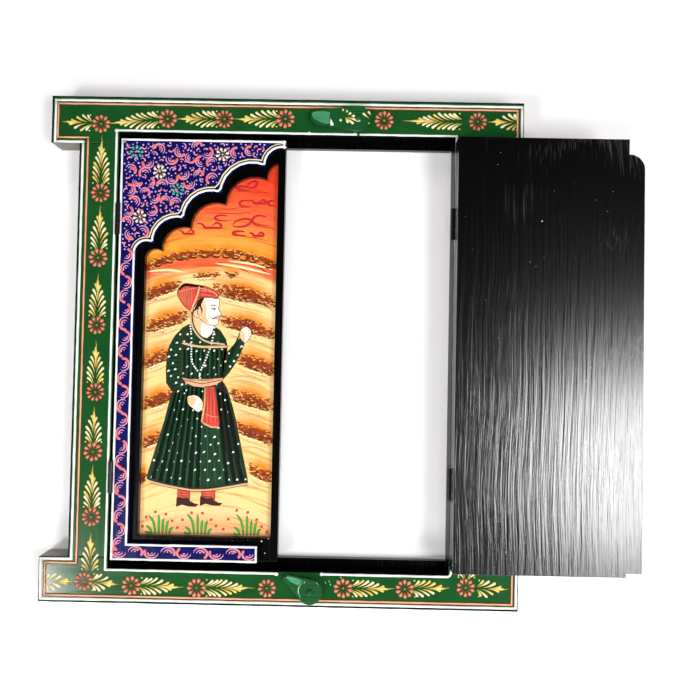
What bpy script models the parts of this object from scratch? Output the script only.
"""A jharokha window wall hanging: a painted wooden frame with two doors, in metres, +Z up.

Each door is three boards glued together: a picture board at the back, a surround with an
arched cut-out in the middle, and a narrower overlay with the same arch in front. The right
door also carries the meeting strip. Both doors fold right round onto the front of the frame
on small butt hinges, and two wooden turn buttons hold them shut.

The back of the frame is the plane y = 0 and its front faces -Y. The origin lies on the back
of the top rail, half way up the rail above the opening, where the wall bears on it.
"""

from math import acos, atan2, cos, hypot, pi, radians, sin

import bmesh
import bpy
from mathutils import Matrix

# Clearance between pieces that touch, and how far a cutter runs past what it cuts
FIT_GAP = 0.0003
OVERRUN = 0.0010

# Frame: two rails with ears, and two stiles between them
OPENING_WIDTH = 0.2170
OPENING_HEIGHT = 0.2800
FRAME_THICKNESS = 0.0175
STILE_WIDTH = 0.0255
EAR_REACH = 0.0185
TOP_RAIL_HEIGHT = 0.0230
TOP_EAR_DROP = 0.0075
BOTTOM_RAIL_HEIGHT = 0.0218
BOTTOM_EAR_RISE = 0.0068
DOWEL_RADIUS = 0.0030
DOWEL_LENGTH = 0.0240

# Beads along the top and bottom of the opening, behind the doors
TOP_BEAD_HEIGHT = 0.0050
BOTTOM_BEAD_HEIGHT = 0.0056

# Doors and the gaps round them
DOOR_SIDE_GAP = 0.0014
DOOR_MIDDLE_GAP = 0.0016
DOOR_TOP_GAP = 0.0040
DOOR_BOTTOM_GAP = 0.0052
OVERLAY_THICKNESS = 0.0038
SURROUND_THICKNESS = 0.0042
PICTURE_BOARD_THICKNESS = 0.0039

# The overlay's strips, the arch above them, and the meeting strip on the right door
OVERLAY_STRIP_WIDTH = 0.0108
OVERLAY_CROWN_DROP = 0.0050
OVERLAY_ARCH_RISE = 0.0674
MEETING_STRIP_WIDTH = 0.0252
MEETING_STRIP_REVEAL = 0.0008
MEETING_STRIP_DROP = 0.0068
MEETING_STRIP_CORNER_RADIUS = 0.0095

# How far the surround shows inside the overlay, and its rail beside the other door
SIDE_LEDGE = 0.0053
BOTTOM_LEDGE = 0.0040
ARCH_SPRING_LEDGE = 0.0038
ARCH_CROWN_LEDGE = 0.0082
LEFT_MEETING_RAIL_WIDTH = 0.0048

# Cusps between the lobes of each half arch: shares of its half span, out from the middle of
# the window, and of its rise. The height of a lobe over its chord is a share of the chord.
ARCH_CUSP_SHARES = ((0.880, 0.065), (0.678, 0.309), (0.433, 0.559), (0.139, 0.825))
LOBE_HEIGHT_SHARE = 0.27
LOBE_STEPS = 7

# Butt hinges, with their middles' distance from the top and from the bottom of the opening
UPPER_HINGE_DROP = 0.0565
LOWER_HINGE_RISE = 0.0580
HINGE_LENGTH = 0.0200
MIDDLE_KNUCKLE_LENGTH = 0.0066
HINGE_AXIS_PROUD = 0.0011
BARREL_RADIUS = 0.0016
HINGE_PIN_RADIUS = 0.0007
LEAF_REACH = 0.0080
HINGE_SCREW_SPACING = 0.0110
HINGE_SCREW_HEAD_RADIUS = 0.0015
HINGE_SCREW_HEAD_HEIGHT = 0.0007
HINGE_SCREW_SHANK_RADIUS = 0.0007
HINGE_SCREW_LENGTH = 0.0070

# Turn buttons, each turning on a round-headed screw over a washer
BUTTON_THICKNESS = 0.0032
TOP_BUTTON_X = 0.0455
TOP_BUTTON_RISE = 0.0102
TOP_BUTTON_HEAD_RADIUS = 0.0080
TOP_BUTTON_TIP_RADIUS = 0.0046
TOP_BUTTON_REACH = 0.0302
TOP_BUTTON_TURN = radians(180)
BOTTOM_BUTTON_X = 0.0206
BOTTOM_BUTTON_DROP = 0.0112
BOTTOM_BUTTON_HEAD_RADIUS = 0.0078
BOTTOM_BUTTON_TIP_RADIUS = 0.0020
BOTTOM_BUTTON_REACH = 0.0186
BOTTOM_BUTTON_TURN = radians(151)
WASHER_RADIUS = 0.0035
WASHER_THICKNESS = 0.0006
BUTTON_SCREW_HEAD_RADIUS = 0.0021
BUTTON_SCREW_HEAD_HEIGHT = 0.0013
BUTTON_SCREW_SHANK_RADIUS = 0.0011
BUTTON_SCREW_DEPTH = 0.0120

# Keyhole hanger plates, let into the back of the top rail
HANGER_INSET = 0.0675
HANGER_WIDTH = 0.0140
HANGER_HEIGHT = 0.0200
HANGER_THICKNESS = 0.0010
KEYHOLE_RADIUS = 0.0034
KEYHOLE_DROP = 0.0022
KEYHOLE_SLOT_WIDTH = 0.0036
KEYHOLE_SLOT_RISE = 0.0036
NAIL_POCKET_DEPTH = 0.0060
HANGER_SCREW_SPACING = 0.0152
HANGER_SCREW_HEAD_RADIUS = 0.0019
HANGER_SCREW_HEAD_HEIGHT = 0.0009
HANGER_SCREW_SHANK_RADIUS = 0.0009
HANGER_SCREW_LENGTH = 0.0090

# Driver slots in the screws' heads, as shares of the head
SLOT_WIDTH_SHARE = 0.30
SLOT_DEPTH_SHARE = 0.50

# Sides of the round pieces, and the angle under which their facets are shaded smooth
SCREW_STEPS = 12
ROUND_STEPS = 20
SMOOTH_UNDER = radians(40)

# Places worked out from the sizes
FRONT = -FRAME_THICKNESS
RAIL_EDGE_X = OPENING_WIDTH / 2 + STILE_WIDTH + EAR_REACH
STILE_MIDDLE_X = (OPENING_WIDTH + STILE_WIDTH) / 2
TOP_EDGE_Z = TOP_RAIL_HEIGHT / 2
OPENING_TOP_Z = -TOP_RAIL_HEIGHT / 2
OPENING_BOTTOM_Z = OPENING_TOP_Z - OPENING_HEIGHT
BOTTOM_EDGE_Z = OPENING_BOTTOM_Z - BOTTOM_RAIL_HEIGHT
EAR_UNDERSIDE_Z = OPENING_TOP_Z - TOP_EAR_DROP
EAR_TOP_Z = OPENING_BOTTOM_Z + BOTTOM_EAR_RISE

DOOR_OUTER = OPENING_WIDTH / 2 - DOOR_SIDE_GAP
DOOR_INNER = DOOR_MIDDLE_GAP / 2
DOOR_TOP_Z = OPENING_TOP_Z - DOOR_TOP_GAP
DOOR_BOTTOM_Z = OPENING_BOTTOM_Z + DOOR_BOTTOM_GAP
OVERLAY_FRONT = FRONT
OVERLAY_BACK = OVERLAY_FRONT + OVERLAY_THICKNESS
SURROUND_FRONT = OVERLAY_BACK + FIT_GAP
SURROUND_BACK = SURROUND_FRONT + SURROUND_THICKNESS
PICTURE_FRONT = SURROUND_BACK + FIT_GAP
PICTURE_BACK = PICTURE_FRONT + PICTURE_BOARD_THICKNESS
BEAD_THICKNESS = -PICTURE_BACK - FIT_GAP

OVERLAY_HALF_SPAN = DOOR_OUTER - OVERLAY_STRIP_WIDTH
OVERLAY_CROWN_Z = DOOR_TOP_Z - OVERLAY_CROWN_DROP
OVERLAY_SPRING_Z = OVERLAY_CROWN_Z - OVERLAY_ARCH_RISE
SURROUND_HALF_SPAN = OVERLAY_HALF_SPAN - SIDE_LEDGE
SURROUND_SPRING_Z = OVERLAY_SPRING_Z - ARCH_SPRING_LEDGE
SURROUND_CROWN_Z = OVERLAY_CROWN_Z - ARCH_CROWN_LEDGE
STRIP_END = MEETING_STRIP_WIDTH / 2 + MEETING_STRIP_REVEAL
STRIP_TOP_Z = DOOR_TOP_Z - MEETING_STRIP_DROP

HINGE_X = OPENING_WIDTH / 2 - DOOR_SIDE_GAP / 2
HINGE_Y = FRONT - HINGE_AXIS_PROUD
LEAF_THICKNESS = BARREL_RADIUS - DOOR_SIDE_GAP / 2
LEAF_END_Y = FRONT + LEAF_REACH
LEAF_POCKET_DEPTH = DOOR_SIDE_GAP / 2 + LEAF_THICKNESS + FIT_GAP
HINGE_SCREW_Y = (SURROUND_FRONT + SURROUND_BACK) / 2
HINGE_SCREW_HOLE_RADIUS = HINGE_SCREW_SHANK_RADIUS + FIT_GAP
HINGE_SCREW_HOLE_DEPTH = HINGE_SCREW_LENGTH + FIT_GAP
HINGE_LEVELS = {
    "upper": OPENING_TOP_Z - UPPER_HINGE_DROP,
    "lower": OPENING_BOTTOM_Z + LOWER_HINGE_RISE,
}
SIDES = {"left": -1, "right": 1}

WASHER_BACK = FRONT - FIT_GAP
WASHER_FRONT = WASHER_BACK - WASHER_THICKNESS
BUTTON_BACK = WASHER_FRONT - FIT_GAP
BUTTON_FRONT = BUTTON_BACK - BUTTON_THICKNESS
BUTTON_SCREW_SEAT = BUTTON_FRONT - FIT_GAP
BUTTON_HOLE_RADIUS = BUTTON_SCREW_SHANK_RADIUS + FIT_GAP
HANGER_BACK = -HANGER_THICKNESS
HANGER_X = RAIL_EDGE_X - HANGER_INSET

# Turns that lay a flat outline upright, and that point a screw along an axis
UPRIGHT = (pi / 2, 0, 0)
INTO_THE_FRONT = (pi / 2, 0, 0)
INTO_THE_BACK = (-pi / 2, 0, 0)


def clear_scene():
    for obj in list(bpy.data.objects):
        bpy.data.objects.remove(obj)


def new_collection(name):
    collection = bpy.data.collections.new(name)
    bpy.context.scene.collection.children.link(collection)
    return collection


clear_scene()
PARTS = new_collection("jharokha_window")
CUTTERS = new_collection("cutters")


def new_material(name, colour, roughness, metallic=0.0):
    material = bpy.data.materials.new(name)
    material.use_nodes = True
    shader = material.node_tree.nodes["Principled BSDF"]
    shader.inputs["Base Color"].default_value = (*colour, 1.0)
    shader.inputs["Roughness"].default_value = roughness
    shader.inputs["Metallic"].default_value = metallic
    return material


GREEN_ENAMEL = new_material("green_enamel", (0.012, 0.105, 0.035), 0.35)
BLACK_ENAMEL = new_material("black_enamel", (0.010, 0.010, 0.012), 0.30)
BLUE_ENAMEL = new_material("blue_enamel", (0.030, 0.028, 0.190), 0.35)
PAINTED_PICTURE = new_material("painted_picture", (0.870, 0.520, 0.180), 0.45)
BARE_WOOD = new_material("bare_wood", (0.480, 0.300, 0.150), 0.60)
PAINTED_STEEL = new_material("painted_steel", (0.020, 0.020, 0.022), 0.35, 0.6)
PLATED_STEEL = new_material("plated_steel", (0.560, 0.560, 0.540), 0.30, 1.0)


def box_mesh(name, size):
    """A box about its own middle."""
    bm = bmesh.new()
    bmesh.ops.create_cube(bm, size=1, matrix=Matrix.Diagonal((*size, 1)))
    mesh = bpy.data.meshes.new(name)
    bm.to_mesh(mesh)
    bm.free()
    return mesh


def rod_mesh(name, radius, length, steps=ROUND_STEPS, end_radius=None):
    """A round bar, or a cone, about its own middle and along Z."""
    bm = bmesh.new()
    top_radius = radius if end_radius is None else end_radius
    bmesh.ops.create_cone(
        bm, cap_ends=True, segments=steps, radius1=radius, radius2=top_radius, depth=length
    )
    mesh = bpy.data.meshes.new(name)
    bm.to_mesh(mesh)
    bm.free()
    return mesh


def profile_mesh(name, points, closed=False):
    """The profile of a turned piece: (radius, height) points down its outer side."""
    bm = bmesh.new()
    corners = [bm.verts.new((radius, 0, height)) for radius, height in points]
    for start, end in zip(corners, corners[1:]):
        bm.edges.new((start, end))
    if closed:
        bm.edges.new((corners[-1], corners[0]))
    mesh = bpy.data.meshes.new(name)
    bm.to_mesh(mesh)
    bm.free()
    return mesh


def place(name, data, material=None, at=(0, 0, 0), turn=(0, 0, 0), parent=None, cutter=False):
    """Adds an object, as a part or as a cutter, at a place in its parent's space."""
    obj = bpy.data.objects.new(name, data)
    (CUTTERS if cutter else PARTS).objects.link(obj)
    obj.location = at
    obj.rotation_euler = turn
    obj.parent = parent
    if cutter:
        obj.hide_render = True
        obj.display_type = "WIRE"
    elif material:
        obj.data.materials.clear()
        obj.data.materials.append(material)
    return obj


def turned(obj, steps):
    """Spins an object's profile into a closed round piece."""
    screw = obj.modifiers.new("turned", "SCREW")
    screw.steps = steps
    screw.render_steps = steps
    screw.use_merge_vertices = True
    screw.merge_threshold = FIT_GAP / ROUND_STEPS
    obj.data.shade_smooth()
    obj.data.set_sharp_from_angle(angle=SMOOTH_UNDER)
    return obj


def combine(piece, tool, operation):
    modifier = piece.modifiers.new(tool.name, "BOOLEAN")
    modifier.operation = operation
    modifier.object = tool


def cut(piece, *tools):
    for tool in tools:
        combine(piece, tool, "DIFFERENCE")


def join(piece, tool):
    combine(piece, tool, "UNION")


def meshed(obj):
    """The object's evaluated shape as a plain mesh with its loose ends welded."""
    bpy.context.view_layer.update()
    graph = bpy.context.evaluated_depsgraph_get()
    mesh = bpy.data.meshes.new_from_object(obj.evaluated_get(graph))
    bm = bmesh.new()
    bm.from_mesh(mesh)
    bmesh.ops.remove_doubles(bm, verts=bm.verts, dist=FIT_GAP / ROUND_STEPS)
    bm.to_mesh(mesh)
    bm.free()
    mesh.name = obj.name
    return mesh


def extruded(name, loops, thickness):
    """A board cut to flat outlines in (x, z), the first its edge and any others its holes."""
    curve = bpy.data.curves.new(name, "CURVE")
    curve.dimensions = "2D"
    curve.fill_mode = "BOTH"
    curve.extrude = thickness / 2
    for loop in loops:
        spline = curve.splines.new("POLY")
        spline.points.add(len(loop) - 1)
        spline.use_cyclic_u = True
        for point, (x, z) in zip(spline.points, loop):
            point.co = (x, z, 0, 1)
    outline = bpy.data.objects.new(name, curve)
    PARTS.objects.link(outline)
    mesh = meshed(outline)
    bpy.data.objects.remove(outline)
    return mesh


def box_cutter(name, low, high, parent=None, offset=(0, 0, 0)):
    """A cutter between two corners, which are given in the frame's space."""
    size = [b - a for a, b in zip(low, high)]
    middle = [(a + b) / 2 - c for a, b, c in zip(low, high, offset)]
    return place(name, box_mesh(name, size), at=middle, parent=parent, cutter=True)


def bore(name, radius, length, at, turn=(0, 0, 0), parent=None):
    """A round cutter that starts just outside a surface and ends a length below it."""
    mesh = rod_mesh(name, radius, length + OVERRUN)
    mesh.transform(Matrix.Translation((0, 0, (OVERRUN - length) / 2)))
    return place(name, mesh, at=at, turn=turn, parent=parent, cutter=True)


def pivot(name, at, turn=(0, 0, 0)):
    empty = place(name, None, at=at, turn=turn)
    empty.empty_display_size = HINGE_LENGTH
    return empty


def arc(start, end, height_share, steps):
    """Points from start up to, but not with, end along an arc that bulges to the left of it."""
    run = (end[0] - start[0], end[1] - start[1])
    chord = hypot(*run)
    height = chord * height_share
    radius = (chord**2 / 4 + height**2) / (2 * height)
    left = (-run[1] / chord, run[0] / chord)
    centre = [(a + b) / 2 - n * (radius - height) for a, b, n in zip(start, end, left)]
    first = atan2(start[1] - centre[1], start[0] - centre[0])
    sweep = 2 * acos((radius - height) / radius)
    angles = [first - sweep * step / steps for step in range(steps)]
    return [(centre[0] + radius * cos(a), centre[1] + radius * sin(a)) for a in angles]


def half_arch(half_span, spring_z, crown_z, inner_edge):
    """The lobed arch of the left door, from its springing to its inner edge."""
    rise = crown_z - spring_z
    cusps = [(-half_span * out, spring_z + rise * up) for out, up in ARCH_CUSP_SHARES]
    corners = [(-half_span, spring_z), *cusps, (0, crown_z)]
    points = []
    for start, end in zip(corners, corners[1:]):
        points += arc(start, end, LOBE_HEIGHT_SHARE, LOBE_STEPS)
    points.append(corners[-1])
    kept = [point for point in points if point[0] < -inner_edge]
    before, after = kept[-1], points[len(kept)]
    share = (-inner_edge - before[0]) / (after[0] - before[0])
    return kept + [(-inner_edge, before[1] + share * (after[1] - before[1]))]


def overlay_outline():
    arch = half_arch(OVERLAY_HALF_SPAN, OVERLAY_SPRING_Z, OVERLAY_CROWN_Z, DOOR_INNER)
    strip_top = DOOR_BOTTOM_Z + OVERLAY_STRIP_WIDTH
    return [
        (-DOOR_OUTER, DOOR_BOTTOM_Z),
        (-STRIP_END, DOOR_BOTTOM_Z),
        (-STRIP_END, strip_top),
        (-OVERLAY_HALF_SPAN, strip_top),
        *arch,
        (-DOOR_INNER, DOOR_TOP_Z),
        (-DOOR_OUTER, DOOR_TOP_Z),
    ]


def surround_outlines(inner_edge):
    arch = half_arch(SURROUND_HALF_SPAN, SURROUND_SPRING_Z, SURROUND_CROWN_Z, inner_edge)
    ledge_top = DOOR_BOTTOM_Z + OVERLAY_STRIP_WIDTH + BOTTOM_LEDGE
    board = [
        (-DOOR_OUTER, DOOR_BOTTOM_Z),
        (-DOOR_INNER, DOOR_BOTTOM_Z),
        (-DOOR_INNER, DOOR_TOP_Z),
        (-DOOR_OUTER, DOOR_TOP_Z),
    ]
    cut_out = [(-inner_edge, ledge_top), (-SURROUND_HALF_SPAN, ledge_top), *arch]
    return [board, cut_out]


def strip_outline():
    """The meeting strip, with its two top corners rounded to lie inside the arch."""
    edge = MEETING_STRIP_WIDTH / 2
    radius = MEETING_STRIP_CORNER_RADIUS
    turns = [pi / 2 * step / LOBE_STEPS for step in range(LOBE_STEPS + 1)]
    right = [
        (edge - radius + radius * cos(a), STRIP_TOP_Z - radius + radius * sin(a)) for a in turns
    ]
    left = [(-x, z) for x, z in reversed(right)]
    return [(-edge, DOOR_BOTTOM_Z), (edge, DOOR_BOTTOM_Z), *right, *left]


def sided(loops, side):
    """Outlines of the left door, mirrored for the right one."""
    return [[(-side * x, z) for x, z in loop] for loop in loops]


def button_outline(head_radius, tip_radius, reach):
    """A round head on the pivot, drawn in along two tangents to a round tip at +X."""
    tip = reach - tip_radius
    lean = acos((head_radius - tip_radius) / tip)
    head = [lean + (2 * pi - 2 * lean) * step / ROUND_STEPS for step in range(ROUND_STEPS + 1)]
    end = [-lean + 2 * lean * step / LOBE_STEPS for step in range(LOBE_STEPS + 1)]
    points = [(head_radius * cos(a), head_radius * sin(a)) for a in head]
    return points + [(tip + tip_radius * cos(a), tip_radius * sin(a)) for a in end]


def slotted(obj, head_radius, head_height, top):
    """Cuts a driver slot across the head of a screw and keeps the result as a mesh."""
    width = head_radius * SLOT_WIDTH_SHARE
    depth = head_height * SLOT_DEPTH_SHARE
    reach = head_radius + OVERRUN
    slot = box_cutter(
        "driver_slot", (-reach, -width / 2, top - depth), (reach, width / 2, top + OVERRUN)
    )
    cut(obj, slot)
    mesh = meshed(obj)
    bpy.data.objects.remove(obj)
    bpy.data.objects.remove(slot)
    return mesh


def flat_screw_mesh(name, head_radius, head_height, shank_radius, length):
    """A countersunk screw along -Z, with the flat of its head at z = 0."""
    points = [
        (0, 0),
        (head_radius, 0),
        (shank_radius, -head_height),
        (shank_radius, shank_radius - length),
        (0, -length),
    ]
    screw = turned(place(name, profile_mesh(name, points)), SCREW_STEPS)
    return slotted(screw, head_radius, head_height, 0)


def round_screw_mesh(name, head_radius, head_height, shank_radius, length):
    """A round-headed screw along -Z, with the seat of its head at z = 0."""
    turns = [pi / 2 * (1 - step / LOBE_STEPS) for step in range(LOBE_STEPS + 1)]
    dome = [(head_radius * cos(a), head_height * sin(a)) for a in turns]
    dome[0] = (0, head_height)
    shank = [(shank_radius, 0), (shank_radius, shank_radius - length), (0, -length)]
    screw = turned(place(name, profile_mesh(name, dome + shank)), SCREW_STEPS)
    return slotted(screw, head_radius, head_height, head_height)


def countersink(name, head_radius, head_height, shank_radius, through, at, turn, parent=None):
    """Cutters for a flat screw's head and shank, with their clearance."""
    wide = head_radius + FIT_GAP
    narrow = shank_radius + FIT_GAP
    mesh = rod_mesh(name, narrow, head_height + FIT_GAP, SCREW_STEPS, end_radius=wide)
    mesh.transform(Matrix.Translation((0, 0, (FIT_GAP - head_height) / 2)))
    seat = place(name, mesh, at=at, turn=turn, parent=parent, cutter=True)
    return seat, bore(f"{name}_bore", narrow, through, at, turn, parent)


def build_rail(name, edge_z, opening_z, ear_z, material):
    """A rail with its ears, which pass the opening's edge by the ears' drop or rise."""
    low, high = sorted((edge_z, ear_z))
    size = (2 * RAIL_EDGE_X, FRAME_THICKNESS, high - low)
    rail = place(name, box_mesh(name, size), material, at=(0, FRONT / 2, (low + high) / 2))
    past = ear_z + OVERRUN * (1 if ear_z > opening_z else -1)
    bottom, top = sorted((opening_z, past))
    notch = box_cutter(
        f"{name}_notch",
        (-OPENING_WIDTH / 2, FRONT - OVERRUN, bottom),
        (OPENING_WIDTH / 2, OVERRUN, top),
    )
    cut(rail, notch)
    return rail


def build_stile(name, side, material):
    low = EAR_TOP_Z + FIT_GAP
    high = EAR_UNDERSIDE_Z - FIT_GAP
    size = (STILE_WIDTH, FRAME_THICKNESS, high - low)
    at = (side * STILE_MIDDLE_X, FRONT / 2, (low + high) / 2)
    return place(name, box_mesh(name, size), material, at=at)


def build_dowel(name, side, joint_z, rail, stile, material):
    """A dowel across the joint between a rail and a stile, with its hole in both."""
    at = (side * STILE_MIDDLE_X, FRONT / 2, joint_z)
    place(name, rod_mesh(name, DOWEL_RADIUS, DOWEL_LENGTH), material, at=at)
    hole_mesh = rod_mesh(f"{name}_hole", DOWEL_RADIUS + FIT_GAP, DOWEL_LENGTH + 2 * FIT_GAP)
    hole = place(f"{name}_hole", hole_mesh, at=at, cutter=True)
    cut(rail, hole)
    cut(stile, hole)


def build_bead(name, edge_z, height, material):
    """A bead behind the doors, from the rail's edge into the opening."""
    direction = 1 if height > 0 else -1
    start = edge_z + direction * FIT_GAP
    size = (OPENING_WIDTH - 2 * FIT_GAP, BEAD_THICKNESS, abs(height) - FIT_GAP)
    middle = (0, -BEAD_THICKNESS / 2, (start + edge_z + height) / 2)
    place(name, box_mesh(name, size), material, at=middle)


def build_frame():
    top = build_rail("top_rail", TOP_EDGE_Z, OPENING_TOP_Z, EAR_UNDERSIDE_Z, GREEN_ENAMEL)
    bottom = build_rail("bottom_rail", BOTTOM_EDGE_Z, OPENING_BOTTOM_Z, EAR_TOP_Z, GREEN_ENAMEL)
    stiles = {}
    for side_name, side in SIDES.items():
        stile = build_stile(f"{side_name}_stile", side, GREEN_ENAMEL)
        build_dowel(f"top_{side_name}_dowel", side, EAR_UNDERSIDE_Z, top, stile, BARE_WOOD)
        build_dowel(f"bottom_{side_name}_dowel", side, EAR_TOP_Z, bottom, stile, BARE_WOOD)
        stiles[side_name] = stile
    build_bead("top_stop_bead", OPENING_TOP_Z, -TOP_BEAD_HEIGHT, BLACK_ENAMEL)
    build_bead("bottom_stop_bead", OPENING_BOTTOM_Z, BOTTOM_BEAD_HEIGHT, BLACK_ENAMEL)
    return {"top": top, "bottom": bottom, **stiles}


def build_door(side_name, inner_edge, pivot_empty):
    """The three boards of a door, shut, in the space of its hinge axis."""
    side = SIDES[side_name]
    axis_x, axis_y, _ = pivot_empty.location
    boards = {}
    board, cut_out = surround_outlines(inner_edge)
    layers = (
        ("overlay", [overlay_outline()], OVERLAY_FRONT, OVERLAY_BACK, BLUE_ENAMEL),
        ("surround", [board, cut_out], SURROUND_FRONT, SURROUND_BACK, BLACK_ENAMEL),
        ("picture_board", [board], PICTURE_FRONT, PICTURE_BACK, PAINTED_PICTURE),
    )
    for layer, loops, front, back, material in layers:
        name = f"{side_name}_{layer}"
        mesh = extruded(name, sided(loops, side), back - front)
        at = (-axis_x, (front + back) / 2 - axis_y, 0)
        boards[layer] = place(name, mesh, material, at=at, turn=UPRIGHT, parent=pivot_empty)
    return boards


def build_meeting_strip(pivot_empty):
    axis_x, axis_y, _ = pivot_empty.location
    mesh = extruded("meeting_strip", [strip_outline()], OVERLAY_THICKNESS)
    at = (-axis_x, (OVERLAY_FRONT + OVERLAY_BACK) / 2 - axis_y, 0)
    place("meeting_strip", mesh, BLUE_ENAMEL, at=at, turn=UPRIGHT, parent=pivot_empty)


def knuckle_gaps(keeps_middle):
    """Cutters for the knuckles a leaf doesn't have: the outer two, or the middle one."""
    clear = BARREL_RADIUS + FIT_GAP
    middle = MIDDLE_KNUCKLE_LENGTH / 2
    if keeps_middle:
        start = middle - FIT_GAP / 2
        spans = [(start, HINGE_LENGTH), (-HINGE_LENGTH, -start)]
    else:
        end = middle + FIT_GAP / 2
        spans = [(-end, end)]
    return [
        box_cutter("knuckle_gap", (-clear, -clear, low), (clear, clear, high))
        for low, high in spans
    ]


def leaf_mesh(name, keeps_middle):
    """A hinge leaf about its axis: the plate lies at +X, and has the middle or outer knuckles."""
    inner = DOOR_SIDE_GAP / 2
    reach = LEAF_END_Y - HINGE_Y
    plate = place(name, box_mesh(name, (LEAF_THICKNESS, reach, HINGE_LENGTH)))
    plate.data.transform(Matrix.Translation((inner + LEAF_THICKNESS / 2, reach / 2, 0)))
    barrel = place("barrel", rod_mesh("barrel", BARREL_RADIUS, HINGE_LENGTH), cutter=True)
    join(plate, barrel)

    hole_length = HINGE_LENGTH + 2 * OVERRUN
    hole = rod_mesh("pin_hole", HINGE_PIN_RADIUS + FIT_GAP, hole_length, SCREW_STEPS)
    cutters = [place("pin_hole", hole, cutter=True), *knuckle_gaps(keeps_middle)]
    for up in (-1, 1):
        at = (inner, HINGE_SCREW_Y - HINGE_Y, up * HINGE_SCREW_SPACING / 2)
        cutters += countersink(
            "leaf_screw_hole", HINGE_SCREW_HEAD_RADIUS, HINGE_SCREW_HEAD_HEIGHT,
            HINGE_SCREW_SHANK_RADIUS, LEAF_THICKNESS + OVERRUN, at, (0, -pi / 2, 0),
        )
    cut(plate, *cutters)
    mesh = meshed(plate)
    for obj in (plate, barrel, *cutters):
        bpy.data.objects.remove(obj)
    return mesh


def cut_leaf_pocket(name, toward, axis_x, z, pieces, parent=None, offset=(0, 0, 0)):
    """Lets a leaf into the wood: from the middle of the gap, and open at the front."""
    half = HINGE_LENGTH / 2 + FIT_GAP
    low_x, high_x = sorted((axis_x, axis_x + toward * LEAF_POCKET_DEPTH))
    low = (low_x, FRONT - OVERRUN, z - half)
    high = (high_x, LEAF_END_Y + FIT_GAP, z + half)
    pocket = box_cutter(f"{name}_pocket", low, high, parent, offset)
    for piece in pieces:
        cut(piece, pocket)


def place_leaf_screws(name, toward, axis_x, z, piece, mesh, parent=None, offset=(0, 0, 0)):
    """The two screws of a leaf, each from the leaf's face into the piece behind it."""
    x = axis_x + toward * DOOR_SIDE_GAP / 2
    turn = (0, -toward * pi / 2, 0)
    for number, up in enumerate((-1, 1), start=1):
        screw_name = f"{name}_{number}"
        at = (x - offset[0], HINGE_SCREW_Y - offset[1], z + up * HINGE_SCREW_SPACING / 2)
        place(screw_name, mesh, PAINTED_STEEL, at=at, turn=turn, parent=parent)
        hole_name = f"{screw_name}_hole"
        radius, depth = HINGE_SCREW_HOLE_RADIUS, HINGE_SCREW_HOLE_DEPTH
        cut(piece, bore(hole_name, radius, depth, at, turn, parent))


def build_hinge(name, side, z, stile, boards, pivot_empty, meshes):
    """One butt hinge, with its leaves let into the stile and into the edge of the door."""
    axis_x = side * HINGE_X
    offset = (axis_x, HINGE_Y, 0)
    outward = (0, 0, 0) if side > 0 else (0, pi, 0)
    inward = (0, pi, 0) if side > 0 else (0, 0, 0)
    at = (axis_x, HINGE_Y, z)
    place(f"{name}_frame_leaf", meshes["frame_leaf"], PAINTED_STEEL, at=at, turn=outward)
    place(f"{name}_pin", meshes["pin"], PAINTED_STEEL, at=at)
    place(f"{name}_door_leaf", meshes["door_leaf"], PAINTED_STEEL,
          at=(0, 0, z), turn=inward, parent=pivot_empty)

    edges = [boards["overlay"], boards["surround"]]
    cut_leaf_pocket(f"{name}_frame", side, axis_x, z, [stile])
    cut_leaf_pocket(f"{name}_door", -side, axis_x, z, edges, pivot_empty, offset)
    place_leaf_screws(f"{name}_frame_screw", side, axis_x, z, stile, meshes["screw"])
    place_leaf_screws(f"{name}_door_screw", -side, axis_x, z, boards["surround"],
                      meshes["screw"], pivot_empty, offset)


def build_button(name, rail, x, z, head_radius, tip_radius, reach, tail_turn, screw_mesh):
    """A turn button, its washer and its screw, with the tail turned up from +X."""
    at = (x, (BUTTON_BACK + BUTTON_FRONT) / 2, z)
    axis = pivot(f"{name}_pivot", at, (0, -tail_turn, 0))
    outline = button_outline(head_radius, tip_radius, reach)
    mesh = extruded(f"{name}_turn_button", [outline], BUTTON_THICKNESS)
    button = place(f"{name}_turn_button", mesh, GREEN_ENAMEL, turn=UPRIGHT, parent=axis)
    hole = rod_mesh(f"{name}_button_hole", BUTTON_HOLE_RADIUS, BUTTON_THICKNESS + 2 * OVERRUN)
    cut(button, place(f"{name}_button_hole", hole, at=at, turn=UPRIGHT, cutter=True))

    ring = [
        (WASHER_RADIUS, WASHER_THICKNESS / 2),
        (WASHER_RADIUS, -WASHER_THICKNESS / 2),
        (BUTTON_HOLE_RADIUS, -WASHER_THICKNESS / 2),
        (BUTTON_HOLE_RADIUS, WASHER_THICKNESS / 2),
    ]
    washer = place(
        f"{name}_washer", profile_mesh(f"{name}_washer", ring, closed=True), PLATED_STEEL,
        at=(x, (WASHER_BACK + WASHER_FRONT) / 2, z), turn=INTO_THE_FRONT,
    )
    turned(washer, ROUND_STEPS)
    place(f"{name}_button_screw", screw_mesh, GREEN_ENAMEL,
          at=(x, BUTTON_SCREW_SEAT, z), turn=INTO_THE_FRONT)
    cut(rail, bore(f"{name}_button_screw_hole", BUTTON_HOLE_RADIUS,
                   BUTTON_SCREW_DEPTH + FIT_GAP, (x, FRONT, z), INTO_THE_FRONT))


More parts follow.
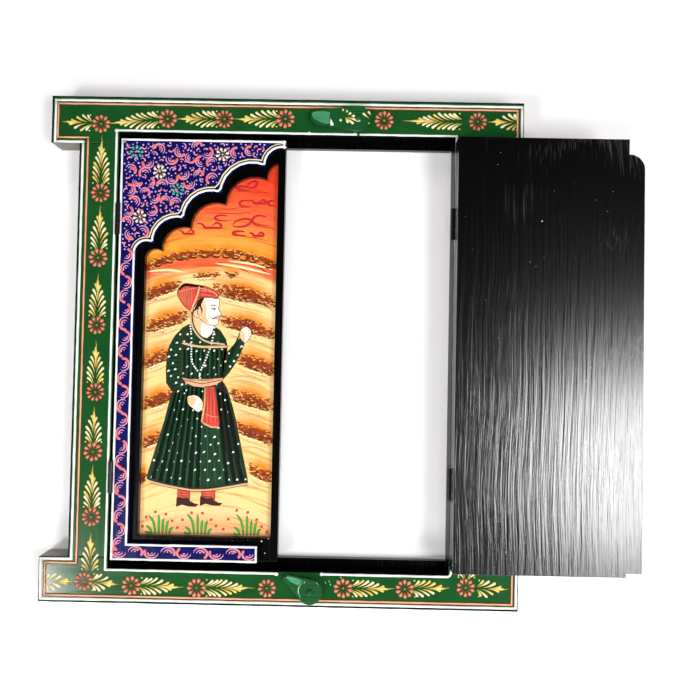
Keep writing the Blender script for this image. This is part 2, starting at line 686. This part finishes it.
def build_buttons(frame):
    length = FRONT - BUTTON_SCREW_SEAT + BUTTON_SCREW_DEPTH
    screw = round_screw_mesh(
        "button_screw", BUTTON_SCREW_HEAD_RADIUS, BUTTON_SCREW_HEAD_HEIGHT,
        BUTTON_SCREW_SHANK_RADIUS, length,
    )
    build_button(
        "top", frame["top"], TOP_BUTTON_X, OPENING_TOP_Z + TOP_BUTTON_RISE,
        TOP_BUTTON_HEAD_RADIUS, TOP_BUTTON_TIP_RADIUS, TOP_BUTTON_REACH, TOP_BUTTON_TURN, screw,
    )
    build_button(
        "bottom", frame["bottom"], BOTTOM_BUTTON_X, OPENING_BOTTOM_Z - BOTTOM_BUTTON_DROP,
        BOTTOM_BUTTON_HEAD_RADIUS, BOTTOM_BUTTON_TIP_RADIUS, BOTTOM_BUTTON_REACH,
        BOTTOM_BUTTON_TURN, screw,
    )


def build_hanger(name, side, rail, screw_mesh):
    """A keyhole plate, flush with the back of the rail over a pocket for the nail's head."""
    x = side * HANGER_X
    size = (HANGER_WIDTH, HANGER_THICKNESS, HANGER_HEIGHT)
    plate = place(name, box_mesh(name, size), PLATED_STEEL, at=(x, HANGER_BACK / 2, 0))
    keyhole = rod_mesh(f"{name}_keyhole", KEYHOLE_RADIUS, HANGER_THICKNESS + 2 * OVERRUN)
    cut(plate, place(f"{name}_keyhole", keyhole, at=(x, HANGER_BACK / 2, -KEYHOLE_DROP),
                     turn=UPRIGHT, cutter=True))
    half_slot = KEYHOLE_SLOT_WIDTH / 2
    cut(plate, box_cutter(
        f"{name}_slot",
        (x - half_slot, HANGER_BACK - OVERRUN, -KEYHOLE_DROP),
        (x + half_slot, OVERRUN, KEYHOLE_SLOT_RISE),
    ))
    half_width = HANGER_WIDTH / 2 + FIT_GAP
    half_height = HANGER_HEIGHT / 2 + FIT_GAP
    cut(rail, box_cutter(
        f"{name}_recess",
        (x - half_width, HANGER_BACK - FIT_GAP, -half_height),
        (x + half_width, OVERRUN, half_height),
    ))
    cut(rail, box_cutter(
        f"{name}_nail_pocket",
        (x - KEYHOLE_RADIUS, -NAIL_POCKET_DEPTH, -KEYHOLE_DROP - KEYHOLE_RADIUS),
        (x + KEYHOLE_RADIUS, OVERRUN, KEYHOLE_SLOT_RISE),
    ))
    for number, up in enumerate((-1, 1), start=1):
        at = (x, 0, up * HANGER_SCREW_SPACING / 2)
        place(f"{name}_screw_{number}", screw_mesh, PLATED_STEEL, at=at, turn=INTO_THE_BACK)
        cut(plate, *countersink(
            f"{name}_screw_{number}_seat", HANGER_SCREW_HEAD_RADIUS, HANGER_SCREW_HEAD_HEIGHT,
            HANGER_SCREW_SHANK_RADIUS, HANGER_THICKNESS + OVERRUN, at, INTO_THE_BACK,
        ))
        cut(rail, bore(f"{name}_screw_{number}_hole", HANGER_SCREW_SHANK_RADIUS + FIT_GAP,
                       HANGER_SCREW_LENGTH + FIT_GAP, at, INTO_THE_BACK))


def build_hangers(frame):
    screw = flat_screw_mesh(
        "hanger_screw", HANGER_SCREW_HEAD_RADIUS, HANGER_SCREW_HEAD_HEIGHT,
        HANGER_SCREW_SHANK_RADIUS, HANGER_SCREW_LENGTH,
    )
    for side_name, side in SIDES.items():
        build_hanger(f"{side_name}_hanger_plate", side, frame["top"], screw)


def build_doors(frame):
    """Both doors on their hinges: the left one is shut and the right one folded right open."""
    meshes = {
        "frame_leaf": leaf_mesh("frame_leaf", keeps_middle=False),
        "door_leaf": leaf_mesh("door_leaf", keeps_middle=True),
        "pin": rod_mesh("hinge_pin", HINGE_PIN_RADIUS, HINGE_LENGTH, SCREW_STEPS),
        "screw": flat_screw_mesh(
            "hinge_screw", HINGE_SCREW_HEAD_RADIUS, HINGE_SCREW_HEAD_HEIGHT,
            HINGE_SCREW_SHANK_RADIUS, HINGE_SCREW_LENGTH,
        ),
    }
    inner_edges = {"left": DOOR_INNER + LEFT_MEETING_RAIL_WIDTH, "right": STRIP_END}
    for side_name, side in SIDES.items():
        axis = pivot(f"{side_name}_door_pivot", (side * HINGE_X, HINGE_Y, 0))
        boards = build_door(side_name, inner_edges[side_name], axis)
        for level, z in HINGE_LEVELS.items():
            name = f"{level}_{side_name}_hinge"
            build_hinge(name, side, z, frame[side_name], boards, axis, meshes)
        if side_name == "right":
            build_meeting_strip(axis)
            axis.rotation_euler = (0, 0, pi)


def main():
    frame = build_frame()
    build_doors(frame)
    build_buttons(frame)
    build_hangers(frame)


main()
